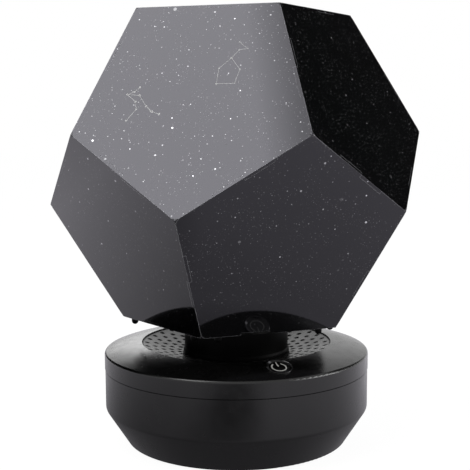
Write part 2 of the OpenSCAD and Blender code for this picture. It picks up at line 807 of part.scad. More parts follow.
// Places its child on the button's axis, with +z out of the cover and +y up the slope
module at_button() { translate([0, -button_place, z_button]) rotate([button_tilt, 0, 0]) children(); }

module at_switch_posts() {
    at_button() for (side = [-1, 1]) translate([side * switch_post_x, 0, 0]) children();
}

module mark_shape() {
    gap_angle = 32;
    difference() {
        circle(mark_r + mark_w / 2);
        circle(mark_r - mark_w / 2);
        polygon([[0, 0], 2 * mark_r * [-sin(gap_angle), cos(gap_angle)], [0, 3 * mark_r],
            2 * mark_r * [sin(gap_angle), cos(gap_angle)]]);
    }
    translate([-mark_w / 2, 0.6]) square([mark_w, mark_r + 0.2]);
}

module power_button() {
    color("#161617") at_button() difference() {
        union() {
            rotate_extrude() polygon([[0, -flange_down], [button_r, -flange_down], [button_r, button_proud],
                [button_r - 0.25, button_proud + 0.1], [button_r - button_bevel, button_proud - 0.3],
                [0, button_proud - 0.3]]);
            translate([0, 0, -flange_down - flange_t])
                cylinder(r = button_r + flange_out, h = flange_t + eps);
            translate([0, 0, -plunger_down]) cylinder(r = 2, h = 2);
        }
        translate([0, 0, button_proud - 0.3 - mark_depth]) linear_extrude(1) mark_shape();
    }
}

mark_depth = 0.25;

module power_mark() {
    color("#b9bcc0") at_button() translate([0, 0, button_proud - 0.3 - mark_depth])
        linear_extrude(mark_depth + 0.02) mark_shape();
}

module switch_stem() {
    color("#303032") at_button() translate([0, 0, -plunger_down - button_travel - 1.4])
        cylinder(r = stem_r, h = button_travel + 1.4);
}

module switch_body() {
    color("#8a8a8e") at_button() difference() {
        translate([-switch_w / 2, -switch_w / 2, -switch_board_down]) cube([switch_w, switch_w, switch_h]);
        translate([0, 0, -plunger_down - 2 * button_travel - 1.6]) cylinder(r = stem_r + 0.08, h = 10);
    }
}

module switch_board() {
    color("#1f5c3a") at_button() difference() {
        translate([-switch_board_w / 2, -switch_board_d / 2, -switch_board_down - board_t])
            cube([switch_board_w, switch_board_d, board_t]);
        for (side = [-1, 1]) translate([side * switch_post_x, 0, -switch_board_down - board_t - cut])
            cylinder(r = pin_r + fit, h = board_t + 2 * cut);
    }
}

// ---- speaker --------------------------------------------------------------

module speaker_frame() {
    r_in = speaker_r - 2;
    color("#3c3c40") translate([-speaker_x, 0, speaker_z]) rotate_extrude() polygon([
        [r_in - 1, 0.3], [r_in - 1, flange_h], [speaker_r, flange_h], [speaker_r, 0], [r_in, 0],
        [r_in, -3], [magnet_r, -speaker_depth + magnet_h], [5, -speaker_depth + magnet_h],
        [5, -speaker_depth + magnet_h + 1], [magnet_r - 0.6, -speaker_depth + magnet_h + 1],
        [r_in - 1, -2.5]]);
}

module speaker_cone() {
    r_out = speaker_r - 3;
    color("#17171a") translate([-speaker_x, 0, speaker_z]) {
        rotate_extrude() polygon([[r_out, 0.3], [r_out, 0.9], [r_out - 2.4, 0.9], [5, -4.6],
            [0, -3.2], [0, -3.8], [5, -5.3], [r_out - 2.2, 0.3]]);
        translate([0, 0, -speaker_depth + magnet_h + 1.1])
            ring(4.4, 3.8, speaker_depth - magnet_h - 6.1);
    }
}

module speaker_magnet() {
    color("#6a6a6e") translate([-speaker_x, 0, speaker_z - speaker_depth]) {
        cylinder(r = magnet_r, h = magnet_h);
    }
}

// ---- battery and boards ---------------------------------------------------

module battery_cell() {
    color("#3f6f9f") translate([-cell_len / 2, cell_place, cell_z]) rotate([0, 90, 0]) {
        cylinder(r = cell_r, h = cell_len - 1.5);
        cylinder(r = 3, h = cell_len);
    }
}

module battery_holder() {
    room = 0.3;
    len = cell_len + 2 * (holder_t + room);
    side = cell_r + room + holder_t;
    color("#202024") difference() {
        translate([-len / 2, cell_place - side, z_floor]) cube([len, 2 * side, cell_r + holder_t + 2]);
        translate([-cell_len / 2 - room, cell_place, cell_z]) rotate([0, 90, 0])
            cylinder(r = cell_r + room, h = cell_len + 2 * room);
        translate([-cell_len / 2 - room, cell_place - cell_r - room, cell_z])
            cube([cell_len + 2 * room, 2 * (cell_r + room), 2 * cell_r]);
    }
}

module at_board_posts() {
    for (sx = [-1, 1], sy = [-1, 1])
        translate([sx * (board_w / 2 - 3), -board_place + sy * (board_d / 2 - 3), 0]) children();
}

module at_charge_posts() {
    for (sx = [-1, 1])
        translate([sx * (charge_board_w / 2 - 2.6), charge_board_y - charge_board_d / 2 + 3, 0]) children();
}

module main_board() {
    color("#1f5c3a") difference() {
        translate([-board_w / 2, -board_place - board_d / 2, board_z]) cube([board_w, board_d, board_t]);
        at_board_posts() translate([0, 0, board_z - cut]) cylinder(r = pin_r + fit, h = board_t + 2 * cut);
    }
}

// Chips, sockets for the leads and a tall capacitor on the main board
module board_parts() {
    top = board_z + board_t;
    color("#2a2a2c") translate([0, -board_place, top]) {
        translate([-8, -3, 0]) cube([7, 7, 1.2]);
        translate([4, 1, 0]) cube([5, 4, 1.2]);
        translate([-15, 2, 0]) cylinder(r = 3, h = 7);
        for (i = [0:2]) translate([-9 + i * 8, -board_d / 2 + 0.6, 0]) cube([6, 4, 4]);
    }
}

module board_screws() {
    color("#9a9a9e") {
        at_board_posts() translate([0, 0, board_z + board_t]) screw(1.8, 1, 4);
        at_charge_posts() translate([0, 0, charge_z + board_t]) screw(1.8, 1, 4);
        at_switch_posts() translate([0, 0, -switch_board_down - board_t])
            mirror([0, 0, 1]) screw(1.7, 0.9, 3.5);
    }
}

// A screw pointing down, with its head standing on z = 0
module screw(head_r, head_h, len) {
    cylinder(r = head_r, h = head_h);
    translate([0, 0, -len]) cylinder(r = pin_r, h = len + eps);
}

module charge_board() {
    color("#1f5c3a") difference() {
        translate([-charge_board_w / 2, charge_board_y - charge_board_d / 2, charge_z])
            cube([charge_board_w, charge_board_d, board_t]);
        at_charge_posts() translate([0, 0, charge_z - cut]) cylinder(r = pin_r + fit, h = board_t + 2 * cut);
    }
}

module charge_socket() {
    skin = 0.35;
    color("#c9c9cd") translate([0, socket_y, socket_z]) rotate([90, 0, 0]) {
        difference() {
            linear_extrude(socket_d) slot_shape(socket_w, socket_h);
            translate([0, 0, -cut]) linear_extrude(socket_d - 1 + cut)
                slot_shape(socket_w - 2 * skin, socket_h - 2 * skin);
        }
        translate([-3.3, -0.35, 0.8]) cube([6.6, 0.7, socket_d - 1]);
    }
}

// ---- drawing --------------------------------------------------------------

lower_shell();
top_cover();
speaker_grille();
rubber_feet();
case_screws();
cover_screws();
mechanism_deck();
thrust_washer();
retaining_ring();
retaining_screws();
motor_body();
motor_screws();
speaker_frame();
speaker_cone();
speaker_magnet();
battery_cell();
battery_holder();
main_board();
board_parts();
board_screws();
charge_board();
charge_socket();
switch_board();
switch_body();
lamp_post();
post_screws();
heat_sink();
lamp_board();
light_emitter();
neck_sleeve();
ring_gear();
gear_screws();
clamp_ring();
floor_panel();
floor_studs();
top_panel();  // star_panel_top
upper_panel(0);  // star_panel_upper_1
upper_panel(1);  // star_panel_upper_2
upper_panel(2);  // star_panel_upper_3
upper_panel(3);  // star_panel_upper_4
upper_panel(4);  // star_panel_upper_5
lower_panel(0);  // star_panel_lower_1
lower_panel(1);  // star_panel_lower_2
lower_panel(2);  // star_panel_lower_3
lower_panel(3);  // star_panel_lower_4
lower_panel(4);  // star_panel_lower_5
motor_shaft();
drive_pinion();
power_button();
power_mark();
switch_stem();
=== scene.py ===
# %% [markdown]
# # Desk planetarium
# The object is a dark twelve-sided globe on a round speaker base. Nearly all of it is black
# plastic, so what the eye reads is not colour but gloss: wide sheets that mirror the studio,
# satin mouldings that only catch a soft sheen, and a print of fine pale stars.
# The solids come ready made and keep their shape. This lesson gives each one its finish,
# adds the print and then sets the floor, the lights and the camera.

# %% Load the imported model
import itertools
import json
import math
import random

import bmesh
import bpy
from mathutils import Matrix, Vector


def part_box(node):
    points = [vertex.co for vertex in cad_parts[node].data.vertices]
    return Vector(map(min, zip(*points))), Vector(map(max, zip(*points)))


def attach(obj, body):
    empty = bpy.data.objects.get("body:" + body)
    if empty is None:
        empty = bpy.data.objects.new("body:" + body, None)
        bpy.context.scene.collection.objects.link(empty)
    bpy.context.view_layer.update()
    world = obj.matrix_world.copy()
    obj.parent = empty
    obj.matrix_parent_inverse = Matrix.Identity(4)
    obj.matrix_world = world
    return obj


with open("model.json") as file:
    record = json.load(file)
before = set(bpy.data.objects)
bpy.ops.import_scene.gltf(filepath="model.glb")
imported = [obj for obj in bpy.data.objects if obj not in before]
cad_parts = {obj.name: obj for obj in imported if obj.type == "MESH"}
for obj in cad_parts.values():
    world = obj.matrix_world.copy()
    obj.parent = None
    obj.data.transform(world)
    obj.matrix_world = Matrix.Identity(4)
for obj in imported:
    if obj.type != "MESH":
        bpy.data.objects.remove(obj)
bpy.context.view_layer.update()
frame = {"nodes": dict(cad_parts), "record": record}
nodes = frame["nodes"]
MM = 0.001

# %% [markdown]
# ## Small helpers for materials
# Every finish below is a Principled shader whose sockets are fed by textures. A helper that
# makes a node, sets its sockets by name and wires the given inputs keeps each recipe short
# enough to read as a list of steps. Numbers that are the same all over a surface are typed
# straight into the shader.

# %% Node helpers


def feed(tree, socket, value):
    """Wires the socket to another node's output, or types a number or a colour into it."""
    if isinstance(value, bpy.types.NodeSocket):
        tree.links.new(value, socket)
    elif socket.type == "RGBA":
        socket.default_value = (*value[:3], 1.0)
    else:
        socket.default_value = value


def add_node(tree, kind, settings=None, **sockets):
    """A node of that kind. A socket is given by its name, or by its number as _0, _1 and so on."""
    made = tree.nodes.new(kind)
    for name, value in (settings or {}).items():
        setattr(made, name, value)
    for name, value in sockets.items():
        number = name[1:]
        key = int(number) if number.isdigit() else name.replace("_", " ")
        feed(tree, made.inputs[key], value)
    return made


# %% Arithmetic with nodes


def maths(tree, operation, a, b=0.0, c=0.0):
    """One step of arithmetic."""
    made = add_node(tree, "ShaderNodeMath", {"operation": operation}, _0=a, _1=b, _2=c)
    return made.outputs[0]


def product(tree, first, *others):
    for value in others:
        first = maths(tree, "MULTIPLY", first, value)
    return first


def total(tree, first, *others):
    for value in others:
        first = maths(tree, "ADD", first, value)
    return first


def vector_maths(tree, operation, a, b=(0.0, 0.0, 0.0)):
    """One step of arithmetic with vectors. Only the dot product gives a plain number."""
    made = add_node(tree, "ShaderNodeVectorMath", {"operation": operation}, _0=a, _1=b)
    return made.outputs["Value" if operation == "DOT_PRODUCT" else "Vector"]


def spread(tree, value, low, high, to_low, to_high):
    """Maps low..high on to to_low..to_high, and holds the ends."""
    made = add_node(tree, "ShaderNodeMapRange", _0=value, _1=low, _2=high, _3=to_low, _4=to_high)
    return made.outputs[0]


# %% Textures and colours


def object_place(tree):
    """Where on the object a point is, in metres."""
    return add_node(tree, "ShaderNodeTexCoord").outputs["Object"]


def noise(tree, place, scale, detail, dimensions="3D", **sockets):
    """A cloudy value round a half, with that many lumps to a metre."""
    made = add_node(tree, "ShaderNodeTexNoise", {"noise_dimensions": dimensions},
                    Vector=place, Scale=scale, Detail=detail, **sockets)
    return made.outputs[0]


def blend_colours(tree, mask, first, second):
    """first where the mask is 0, second where it is 1."""
    made = add_node(tree, "ShaderNodeMix", {"data_type": "RGBA"}, _0=mask, _6=first, _7=second)
    return made.outputs[2]


def bumpy(tree, shader, height, strength, depth_mm):
    """Gives the shader the fine relief of a texture."""
    bump = add_node(tree, "ShaderNodeBump",
                    Strength=strength, Distance=depth_mm * MM, Height=height)
    tree.links.new(bump.outputs[0], shader.inputs["Normal"])


def grey(level):
    return (level, level, level)


def shade(colour, times, plus=0.0):
    """The colour made darker or paler."""
    return tuple(min(1.0, times * c + plus) for c in colour)


# %% [markdown]
# ## Effects that several finishes share
# Fine moulding grain, smudges from handling, dust on upward faces and pale worn edges turn up
# on nearly every piece. The mask of sharp edges also places painted shade and painted highlights
# on a few. Each is built once as a node group with named sockets, and a material then places
# the group with its own values. A group only puts out masks and heights.

# %% Group: moulding grain
PER_METRE = 1000.0   # turns a size in millimetres into a texture's scale


def new_group(name, inputs, outputs):
    """An empty shader group. inputs is (name, default) pairs, outputs is names."""
    tree = bpy.data.node_groups.new(name, "ShaderNodeTree")
    for label, default in inputs:
        socket = tree.interface.new_socket(label, in_out="INPUT", socket_type="NodeSocketFloat")
        socket.default_value = default
    for label in outputs:
        tree.interface.new_socket(label, in_out="OUTPUT", socket_type="NodeSocketFloat")
    return tree, tree.nodes.new("NodeGroupInput"), tree.nodes.new("NodeGroupOutput")


def build_grain():
    """Two sizes of pits, as spark-eroded tool steel leaves them on a moulding."""
    tree, given, result = new_group("moulding_grain", [("Pit size mm", 0.4)], ["Height", "Mottle"])
    place = object_place(tree)
    scale = maths(tree, "DIVIDE", PER_METRE, given.outputs["Pit size mm"])
    fine = noise(tree, place, scale, 3.0, Roughness=0.6)
    coarse = noise(tree, place, product(tree, scale, 0.06), 4.0, Roughness=0.55)
    tree.links.new(fine, result.inputs["Height"])
    tree.links.new(coarse, result.inputs["Mottle"])
    return tree


grain_group = build_grain()
print("built", grain_group.name)

# %% Group: smudges from handling


def build_smudges():
    """Soft blotches broken up by finer streaks: where fingers have dulled a gloss."""
    tree, given, result = new_group("handling_smudges", [("Amount", 0.5), ("Seed", 0.0)], ["Mask"])
    place, seed = object_place(tree), given.outputs["Seed"]
    blotch = noise(tree, place, 26.0, 3.0, "4D", W=seed)
    streak = noise(tree, place, 190.0, 5.0, "4D", W=seed, Roughness=0.7)
    wide = spread(tree, blotch, 0.48, 0.72, 0.0, 1.0)
    tree.links.new(product(tree, wide, streak, given.outputs["Amount"]), result.inputs["Mask"])
    return tree


smudge_group = build_smudges()
print("built", smudge_group.name)

# %% Group: dust on faces that look up


def build_dust():
    """Specks and a thin film, only where the surface faces the ceiling."""
    tree, given, result = new_group("settled_dust", [("Amount", 0.5)], ["Mask"])
    place = object_place(tree)
    shape = add_node(tree, "ShaderNodeNewGeometry")
    facing = add_node(tree, "ShaderNodeSeparateXYZ", Vector=shape.outputs["Normal"])
    upward = spread(tree, facing.outputs["Z"], 0.3, 0.95, 0.0, 1.0)
    speck = add_node(tree, "ShaderNodeTexVoronoi", Vector=place, Scale=850.0)
    dots = spread(tree, speck.outputs["Distance"], 0.10, 0.16, 1.0, 0.0)
    rare = add_node(tree, "ShaderNodeSeparateColor", Color=speck.outputs["Color"])
    few = maths(tree, "GREATER_THAN", rare.outputs[0], 0.985)
    haze = spread(tree, noise(tree, place, 60.0, 6.0), 0.4, 0.8, 0.0, 0.03)
    dust = total(tree, product(tree, dots, few), haze)
    tree.links.new(product(tree, dust, upward, given.outputs["Amount"]), result.inputs["Mask"])
    return tree


dust_group = build_dust()
print("built", dust_group.name)

# %% Group: sharp edges, for wear, painted shade and painted highlights


def build_edge_mask():
    """Finds sharp edges by comparing the true normal with one rounded over a small radius."""
    tree, given, result = new_group("edge_mask", [("Width mm", 0.4), ("Amount", 0.5)], ["Mask"])
    place = object_place(tree)
    shape = add_node(tree, "ShaderNodeNewGeometry")
    radius = product(tree, given.outputs["Width mm"], MM)
    round_edge = add_node(tree, "ShaderNodeBevel", {"samples": 4}, Radius=radius)
    same = vector_maths(tree, "DOT_PRODUCT", shape.outputs["Normal"], round_edge.outputs[0])
    edge = spread(tree, same, 0.97, 0.85, 0.0, 1.0)
    patchy = spread(tree, noise(tree, place, 420.0, 4.0), 0.35, 0.65, 0.55, 1.0)
    tree.links.new(product(tree, edge, patchy, given.outputs["Amount"]), result.inputs["Mask"])
    return tree


edge_group = build_edge_mask()
print("built", edge_group.name)

# %% [markdown]
# ## A recipe for moulded and painted finishes
# Most of the black pieces differ only in colour, gloss and the depth of their grain, so one
# function makes them all. Dust and pale edges lighten the colour a little: the edges are wear,
# and on the button also a painted highlight round its rim. Smudges and mottle move the
# roughness, and the grain goes to a Bump node. The grille also has painted shade round the rim
# of each hole, which makes the holes look rounded at their edges, and the inlaid symbol has a
# dark outline, which makes its lines thin.

# %% Moulded finishes
DUST_COLOUR = (0.30, 0.29, 0.27)
# painted shade round the grille's holes, and the dark outline of the symbol's lines
RIM_SHADE = grey(0.0005)
PLASTIC_IOR, COAT_ROUGHNESS = 1.48, 0.12


def place_group(tree, group, **values):
    made = tree.nodes.new("ShaderNodeGroup")
    made.node_tree = group
    for name, value in values.items():
        made.inputs[name.replace("_", " ")].default_value = value
    return made


def new_material(name):
    """A material with nothing but its output and a Principled shader."""
    material = bpy.data.materials.new(name)
    material.use_nodes = True
    tree = material.node_tree
    return material, tree, tree.nodes["Principled BSDF"]


def moulded(name, colour, roughness, grain=(0.4, 0.02), dust=0.25, wear_and_highlight=0.35, smudge=0.5,
            specular=0.5, coat=0.0, rim_mm=0.0):
    """Plastic, paint or rubber. grain is the size and the depth of its pits, in millimetres."""
    pit_mm, pit_depth_mm = grain
    material, tree, shader = new_material(name)
    pits = place_group(tree, grain_group, Pit_size_mm=pit_mm)
    dusty = place_group(tree, dust_group, Amount=dust).outputs["Mask"]
    edges = place_group(tree, edge_group, Width_mm=0.35, Amount=wear_and_highlight).outputs["Mask"]
    smudges = place_group(tree, smudge_group, Amount=smudge).outputs["Mask"]
    darker, paler = shade(colour, 0.82), shade(colour, 1.2, 0.0005)
    body = blend_colours(tree, pits.outputs["Mottle"], darker, paler)
    # pale edges: wear, and on the button a painted highlight round its rim
    body = blend_colours(tree, edges, body, shade(colour, 0.8, 0.03))
    body = blend_colours(tree, dusty, body, DUST_COLOUR)
    rough = spread(tree, pits.outputs["Mottle"], 0.3, 0.7, roughness - 0.03, roughness + 0.04)
    rough = total(tree, rough, product(tree, smudges, 0.16), product(tree, dusty, 0.25))
    # painted shade: a near black rim round each sharp edge, round the grille's holes; on the
    # symbol it darkens the outline of its lines
    if rim_mm:
        rims = place_group(tree, edge_group, Width_mm=rim_mm, Amount=1.0).outputs["Mask"]
        dark = spread(tree, rims, 0.0, 0.4, 0.0, 1.0)
        body = blend_colours(tree, dark, body, RIM_SHADE)
        rough = maths(tree, "MAXIMUM", rough, dark)
    tree.links.new(body, shader.inputs["Base Color"])
    tree.links.new(rough, shader.inputs["Roughness"])
    bumpy(tree, shader, pits.outputs["Height"], 0.35, pit_depth_mm)
    for socket, value in (("IOR", PLASTIC_IOR), ("Specular IOR Level", specular),
                          ("Coat Weight", coat), ("Coat Roughness", COAT_ROUGHNESS)):
        shader.inputs[socket].default_value = value
    return material


finishes = {
    "base_plastic": moulded("satin_black_moulding", grey(0.0014), 0.24, (0.35, 0.012),
                            dust=0.1, wear_and_highlight=0.2, smudge=0.25, specular=0.45),
    # the grille's rim_mm puts painted shade round each hole
    "grille_plastic": moulded("grille_black_moulding", grey(0.006), 0.26, (0.3, 0.015),
                              dust=0.3, wear_and_highlight=0.0, rim_mm=1.1),
    "neck_plastic": moulded("neck_black_moulding", grey(0.0006), 0.42, (0.5, 0.004),
                            dust=0.05, wear_and_highlight=0.0, smudge=0.2, specular=0.05),
    # the button's pale edges are a painted highlight round its rim
    "button_plastic": moulded("button_black_moulding", grey(0.003), 0.13, (0.25, 0.008),
                              wear_and_highlight=1.0, smudge=0.2, specular=0.8, coat=1.0),
    "mark_grey": moulded("button_mark_ink", (0.60, 0.60, 0.57), 0.4, (0.2, 0.01),
                         wear_and_highlight=0.0, rim_mm=0.2),
    "floor_plastic": moulded("globe_floor_sheet", grey(0.0025), 0.18, (1.2, 0.004),
                             dust=0.0, wear_and_highlight=0.0),
    "feet_rubber": moulded("foot_rubber", grey(0.012), 0.72, (0.6, 0.08), dust=0.1),
    "inner_plastic": moulded("inside_black_moulding", grey(0.012), 0.5, (0.6, 0.05)),
    "white_nylon": moulded("gear_nylon", (0.72, 0.71, 0.66), 0.38, (0.8, 0.01), dust=0.1),
    "speaker_paper": moulded("cone_paper", grey(0.022), 0.85, (0.9, 0.2), dust=0.3),
    "frame_steel": moulded("speaker_frame_paint", grey(0.03), 0.4, (0.5, 0.03), wear_and_highlight=0.8),
    "chip_black": moulded("chip_epoxy", grey(0.02), 0.55, (0.3, 0.03)),
    "board_green": moulded("board_mask", (0.012, 0.10, 0.04), 0.28, (1.5, 0.03), wear_and_highlight=0.8),
    "lamp_board_white": moulded("lamp_board_mask", (0.78, 0.78, 0.75), 0.3, (1.2, 0.02)),
    "emitter_yellow": moulded("emitter_phosphor", (0.85, 0.62, 0.10), 0.25, (0.4, 0.02), wear_and_highlight=0.0),
    "cell_wrap": moulded("cell_sleeve", (0.03, 0.11, 0.30), 0.3, (2.0, 0.03), coat=0.3),
}
print("moulded finishes:", len(finishes))

# %% [markdown]
# ## Metals
# Screws, the motor can, the heat sink and the socket are bare metal. Their colour comes from
# the reflection, so Metallic is 1, and what makes them believable is a roughness that runs in
# fine lines, as turning or rolling leaves it. The lines are a noise stretched along one axis.

# %% Metal finishes


def turned_metal(name, colour, roughness, stretch=(900.0, 900.0, 12.0)):
    """Bare metal. The smaller a number of stretch, the longer the lines are along that axis."""
    material, tree, shader = new_material(name)
    along = add_node(tree, "ShaderNodeMapping", Vector=object_place(tree), Scale=stretch)
    lines = noise(tree, along.outputs[0], 1.0, 4.0)
    smudges = place_group(tree, smudge_group, Amount=0.6, Seed=3.0).outputs["Mask"]
    edges = place_group(tree, edge_group, Width_mm=0.25, Amount=0.7).outputs["Mask"]
    body = blend_colours(tree, lines, shade(colour, 0.72), colour)
    body = blend_colours(tree, edges, body, shade(colour, 1.2))
    rough = spread(tree, lines, 0.3, 0.7, roughness - 0.08, roughness + 0.1)
    rough = total(tree, rough, product(tree, smudges, 0.2))
    tree.links.new(body, shader.inputs["Base Color"])
    tree.links.new(rough, shader.inputs["Roughness"])
    bumpy(tree, shader, lines, 0.2, 0.01)
    shader.inputs["Metallic"].default_value = 1.0
    return material


finishes["screw_steel"] = turned_metal("zinc_screw", (0.46, 0.46, 0.47), 0.34)
finishes["motor_steel"] = turned_metal("motor_can_steel", (0.42, 0.42, 0.43), 0.36)
finishes["sink_aluminium"] = turned_metal("heat_sink_aluminium", (0.66, 0.67, 0.69), 0.35)
finishes["socket_steel"] = turned_metal(
    "socket_nickel", (0.55, 0.55, 0.56), 0.25, (300.0, 900.0, 300.0))
print("finishes with the metals:", len(finishes))

# %% [markdown]
# ## The star print
# The globe's panels are thin gloss sheets, black, with stars printed in a pale ink: very many
# faint specks, fewer clear dots, a few bright ones, and here and there a wide faint disc. A
# Voronoi texture drops one point into each square of a grid, and a dot of ink goes round that
# point. The sheets lie in twelve planes, so the grid is laid flat on each sheet: two axes are
# made from the sheet's own normal, and a shift that also comes from the normal gives every
# sheet stars of its own. A slow noise thins the small stars out in one place and crowds them
# in another. Each size of star is one use of the same group.
#
# The ink has some pearl in it, so its Metallic is not 0. It shines on a sheet that mirrors a
# lamp and stays faint on the dark side of the globe.

# %% Star layer group
AXIS_SEED = (0.37, 0.21, 0.90)         # any direction that no sheet faces
SHIFT_ACROSS = (0.731, 0.417, 0.913)
SHIFT_ALONG = (-0.519, 0.867, 0.311)


def sheet_place(tree):
    """A flat position on the sheet that the surface belongs to."""
    place = add_node(tree, "ShaderNodeTexCoord")
    normal, point = place.outputs["Normal"], place.outputs["Object"]
    across = vector_maths(tree, "CROSS_PRODUCT", AXIS_SEED, normal)
    across = vector_maths(tree, "NORMALIZE", across)
    along = vector_maths(tree, "CROSS_PRODUCT", normal, across)
    flat = [total(tree, vector_maths(tree, "DOT_PRODUCT", point, axis),
                  vector_maths(tree, "DOT_PRODUCT", normal, shift))
            for axis, shift in ((across, SHIFT_ACROSS), (along, SHIFT_ALONG))]
    return add_node(tree, "ShaderNodeCombineXYZ", X=flat[0], Y=flat[1]).outputs[0]


def build_star_layer():
    """Dots of one size class. Density is the share of grid squares that hold a star."""
    defaults = [("Spacing mm", 4.0), ("Radius mm", 0.3), ("Density", 0.5), ("Softness", 0.5),
                ("Ink", 1.0), ("Clumping", 0.5)]
    tree, given, result = new_group("star_layer", defaults, ["Mask"])
    sheet = sheet_place(tree)
    spacing = given.outputs["Spacing mm"]
    cells = add_node(tree, "ShaderNodeTexVoronoi", {"voronoi_dimensions": "2D"},
                     Vector=sheet, Scale=maths(tree, "DIVIDE", PER_METRE, spacing))
    chance = add_node(tree, "ShaderNodeSeparateColor", Color=cells.outputs["Color"])
    size = spread(tree, maths(tree, "POWER", chance.outputs[1], 3.0), 0.0, 1.0, 0.5, 1.0)
    reach = product(tree, maths(tree, "DIVIDE", given.outputs["Radius mm"], spacing), size)
    core = product(tree, reach, maths(tree, "SUBTRACT", 1.0, given.outputs["Softness"]))
    dot = add_node(tree, "ShaderNodeMapRange", {"interpolation_type": "SMOOTHSTEP"},
                   _0=cells.outputs["Distance"], _1=reach, _2=core, _3=0.0, _4=1.0)
    crowd = spread(tree, noise(tree, sheet, 95.0, 2.0, "2D"), 0.38, 0.62, -1.0, 0.7)
    crowd = maths(tree, "MULTIPLY_ADD", crowd, given.outputs["Clumping"], 1.0)
    share = product(tree, given.outputs["Density"], crowd)
    chosen = maths(tree, "LESS_THAN", chance.outputs[0], share)
    strength = spread(tree, maths(tree, "POWER", chance.outputs[2], 2.0), 0.0, 1.0, 0.25, 1.0)
    ink = product(tree, dot.outputs[0], chosen, strength, given.outputs["Ink"])
    tree.links.new(ink, result.inputs["Mask"])
    return tree


star_group = build_star_layer()
print("built", star_group.name)

# %% Star sheet material
STAR_SIZES = (
    # spacing mm, radius mm, share of squares with a star, softness, ink, clumping
    (1.5, 0.26, 0.75, 0.8, 0.20, 0.9),
    (2.3, 0.37, 0.75, 0.7, 0.34, 0.9),
    (4.1, 0.44, 0.70, 0.6, 0.54, 0.5),
    (14.0, 0.60, 0.55, 0.4, 1.70, 0.1),
    (30.0, 1.00, 0.40, 0.3, 0.34, 0.0),
)
STARS_SHADED_BELOW, STARS_FULL_ABOVE = 0.066, 0.086   # painted shade: the stars dim between these heights, in metres
STARS_LEFT_IN_SHADE = 0.08                         # share of their brightness that painted shade leaves below them
PEARL = 0.62                            # Metallic where the ink is dense
LACQUER, LACQUER_IOR = (0.0012, 0.0012, 0.0014), 1.46
CLOUD_COLOUR, STAR_COLOUR = (0.5, 0.5, 0.6), (0.55, 0.55, 0.57)
CUT_EDGE, SHEET_DUST = (0.42, 0.42, 0.44), (0.3, 0.29, 0.28)
SHEET_ROUGHNESS = 0.055
SHEET_TINT = (1.0, 0.985, 1.085, 1.0)   # the sheets mirror a little more violet


def print_mask(tree, place):
    """All sizes of stars together, dimmed by painted shade towards the foot of the globe."""
    stars = 0.0
    for spacing, radius, density, softness, ink, clumping in STAR_SIZES:
        layer = place_group(tree, star_group, Spacing_mm=spacing, Radius_mm=radius,
                            Density=density, Softness=softness, Ink=ink, Clumping=clumping)
        stars = maths(tree, "MAXIMUM", stars, layer.outputs["Mask"])
    # painted shade: the stars dim towards the foot of the globe
    height = add_node(tree, "ShaderNodeSeparateXYZ", Vector=place).outputs["Z"]
    return product(tree, stars, spread(tree, height, STARS_SHADED_BELOW, STARS_FULL_ABOVE, STARS_LEFT_IN_SHADE, 1.0))


def star_sheet(name):
    """Gloss black sheet with the print of stars and a slight unevenness of the gloss."""
    material, tree, shader = new_material(name)
    place = object_place(tree)
    stars = print_mask(tree, place)
    veil = spread(tree, noise(tree, place, 16.0, 5.0, Roughness=0.62), 0.4, 0.75, 0.0, 0.0015)
    dusty = place_group(tree, dust_group, Amount=0.06).outputs["Mask"]
    smudges = place_group(tree, smudge_group, Amount=0.3, Seed=1.0).outputs["Mask"]
    waves = place_group(tree, grain_group, Pit_size_mm=4.0).outputs["Height"]
    edges = place_group(tree, edge_group, Width_mm=0.25, Amount=0.6).outputs["Mask"]
    body = blend_colours(tree, veil, LACQUER, CLOUD_COLOUR)
    body = blend_colours(tree, edges, body, CUT_EDGE)
    body = blend_colours(tree, dusty, body, SHEET_DUST)
    body = blend_colours(tree, stars, body, STAR_COLOUR)
    rough = total(tree, SHEET_ROUGHNESS, product(tree, smudges, 0.06), product(tree, stars, 0.12))
    tree.links.new(body, shader.inputs["Base Color"])
    tree.links.new(spread(tree, stars, 0.0, 0.25, 0.0, PEARL), shader.inputs["Metallic"])
    tree.links.new(rough, shader.inputs["Roughness"])
    bumpy(tree, shader, waves, 0.05, 0.02)
    shader.inputs["IOR"].default_value = LACQUER_IOR
    shader.inputs["Specular Tint"].default_value = SHEET_TINT
    return material


finishes["star_print"] = star_sheet("star_print_sheet")
print("star sizes:", len(STAR_SIZES))

# %% [markdown]
# ## Finishes on the solids
# Each solid names the finish it wants. The star panels and the button also have their sharp
# edges rounded by a hair, since a real edge always catches a thin line of light.

# %% Put the finishes on the solids
EDGE_ROUND = 0.22 * MM
BUTTON_ROUND = 0.2 * MM
SHARP = math.radians(25)     # an edge that bends more than this is rounded


def dress(node, material):
    """Gives a solid its material."""
    solid = nodes[node]
    solid.data.materials.clear()
    solid.data.materials.append(material)


def soften(node, radius):
    """Rounds the sharp edges of a solid."""
    bevel = nodes[node].modifiers.new("soft_edges", "BEVEL")
    bevel.width = radius
    bevel.segments = 2
    bevel.limit_method = "ANGLE"
    bevel.angle_limit = SHARP
    bevel.harden_normals = True


for part in frame["record"]["subparts"]:
    dress(part["node"], finishes[part["material_slot"]])
panels = sorted(node for node in nodes if node.startswith("star_panel"))
for panel in panels:
    soften(panel, EDGE_ROUND)
soften("power_button", BUTTON_ROUND)

# %% [markdown]
# ## Figures among the stars
# Here and there on the print, thin lines join a few stars into a figure. Lines this fine would
# need a great many nodes in a shader, so they are modelled: flat ribbons a sixth of a
# millimetre wide that lie a hair above the sheet, with a small disc of ink at each joint. The
# figures are invented. A seeded random walk on each sheet draws them, so they come out the
# same on every run.

